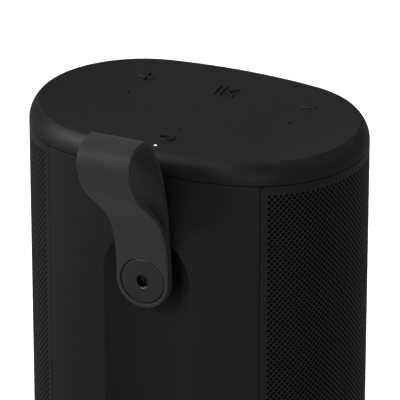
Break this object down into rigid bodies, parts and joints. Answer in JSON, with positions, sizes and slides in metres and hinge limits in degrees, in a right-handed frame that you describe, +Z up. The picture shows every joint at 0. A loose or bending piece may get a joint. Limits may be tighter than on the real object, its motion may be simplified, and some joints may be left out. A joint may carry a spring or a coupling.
{
  "type": "portable speaker",
  "caption": "Portable splash-proof speaker with an oval plan, dished top with raised keys, perforated wrap grille and a rubber carry loop screwed into a groove in the back.",
  "frame": {"origin": "centre of the body's plan on the underside of the foot pad, the resting face", "axes": "+Z up, -Y the back with the carry loop, +Y the front, +X towards the end with the volume-down key"},
  "size_m": [0.1126, 0.1045, 0.2041],
  "materials": {
    "cap_plastic": "matte soft-touch",
    "key_plastic": "matte",
    "panel_plastic": "fine satin",
    "grille_metal": "powder coated, perforated",
    "cloth": "open weave",
    "strap_rubber": "matte moulded",
    "screw_metal": "black coated",
    "foot_rubber": "matte",
    "light_pipe": "clear to milky",
    "inner_plastic": "moulded",
    "board": "solder mask",
    "steel": "plated",
    "magnet": "coated",
    "cone_paper": "coated paper",
    "roll_rubber": "satin",
    "copper": "enamelled winding",
    "cell_wrap": "shrink wrap over a can",
    "heat_metal": "extruded",
    "chip": "moulded",
    "insert_brass": "knurled"
  },
  "bodies": {
    "speaker_body": {"top_cap": "cap_plastic", "status_light_pipe": "light_pipe", "key_board": "board", "key_switches": "chip", "microphones": "steel", "microphone_boots": "roll_rubber", "status_led": "light_pipe", "key_board_screws": "steel", "cap_seal": "roll_rubber", "front_grille": "grille_metal", "acoustic_cloth": "cloth", "back_panel": "panel_plastic", "charge_port_shell": "steel", "charge_port_tongue": "chip", "rear_key_board": "board", "rear_key_switches": "chip", "base_cap": "cap_plastic", "foot_pad_sheet": "foot_rubber", "base_screws": "steel", "cabinet": "inner_plastic", "cabinet_lid": "inner_plastic", "lid_seal": "roll_rubber", "lid_screws": "steel", "woofer_basket": "inner_plastic", "woofer_magnet": "magnet", "woofer_surround": "roll_rubber", "woofer_spider": "cloth", "woofer_screws": "steel", "left_tweeter": "inner_plastic", "left_tweeter_dome": "cone_paper", "right_tweeter": "inner_plastic", "right_tweeter_dome": "cone_paper", "left_passive_surround": "roll_rubber", "right_passive_surround": "roll_rubber", "left_battery_cell": "cell_wrap", "right_battery_cell": "cell_wrap", "battery_holder": "inner_plastic", "main_board": "board", "heat_spreader": "heat_metal", "amplifier_chips": "chip", "main_board_screws": "steel", "key_cable": "chip", "strap_screw": "screw_metal", "strap_spacer": "inner_plastic", "strap_insert": "insert_brass"},
    "strap": {"carry_strap": "strap_rubber"},
    "volume_up": {"volume_up_key": "key_plastic"},
    "volume_down": {"volume_down_key": "key_plastic"},
    "play": {"play_key": "key_plastic"},
    "voice": {"voice_key": "key_plastic"},
    "power": {"power_key": "key_plastic"},
    "pairing": {"pairing_key": "key_plastic"},
    "woofer_moving": {"woofer_cone": "cone_paper", "woofer_dust_cap": "cone_paper", "woofer_voice_coil": "copper"},
    "left_passive": {"left_passive_plate": "cone_paper"},
    "right_passive": {"right_passive_plate": "cone_paper"}
  },
  "joints": [
    {"name": "strap_swivel", "type": "hinge", "parent": "speaker_body", "child": "strap", "pos_m": [0, -0.0385, 0.14846], "axis": [0, -1, 0], "range_deg": [-180, 180]},
    {"name": "volume_up_press", "type": "slide", "parent": "speaker_body", "child": "volume_up", "axis": [0, 0, -1], "range_m": [0, 0.00035], "stiffness_N_per_m": 3000},
    {"name": "volume_down_press", "type": "slide", "parent": "speaker_body", "child": "volume_down", "axis": [0, 0, -1], "range_m": [0, 0.00035], "stiffness_N_per_m": 3000},
    {"name": "play_press", "type": "slide", "parent": "speaker_body", "child": "play", "axis": [0, 0, -1], "range_m": [0, 0.00035], "stiffness_N_per_m": 3000},
    {"name": "voice_press", "type": "slide", "parent": "speaker_body", "child": "voice", "axis": [0, 0, -1], "range_m": [0, 0.00035], "stiffness_N_per_m": 3000},
    {"name": "power_press", "type": "slide", "parent": "speaker_body", "child": "power", "axis": [0, 1, 0], "range_m": [0, 0.0005], "stiffness_N_per_m": 3000},
    {"name": "pairing_press", "type": "slide", "parent": "speaker_body", "child": "pairing", "axis": [0, 1, 0], "range_m": [0, 0.0005], "stiffness_N_per_m": 3000},
    {"name": "woofer_stroke", "type": "slide", "parent": "speaker_body", "child": "woofer_moving", "axis": [0, 1, 0], "range_m": [-0.002, 0.002], "stiffness_N_per_m": 1500, "deforming": ["woofer_surround", "woofer_spider"]},
    {"name": "left_passive_stroke", "type": "slide", "parent": "speaker_body", "child": "left_passive", "axis": [1, 0, 0], "range_m": [-0.002, 0.002], "stiffness_N_per_m": 900, "deforming": ["left_passive_surround"]},
    {"name": "right_passive_stroke", "type": "slide", "parent": "speaker_body", "child": "right_passive", "axis": [-1, 0, 0], "range_m": [-0.002, 0.002], "stiffness_N_per_m": 900, "deforming": ["right_passive_surround"]}
  ]
}
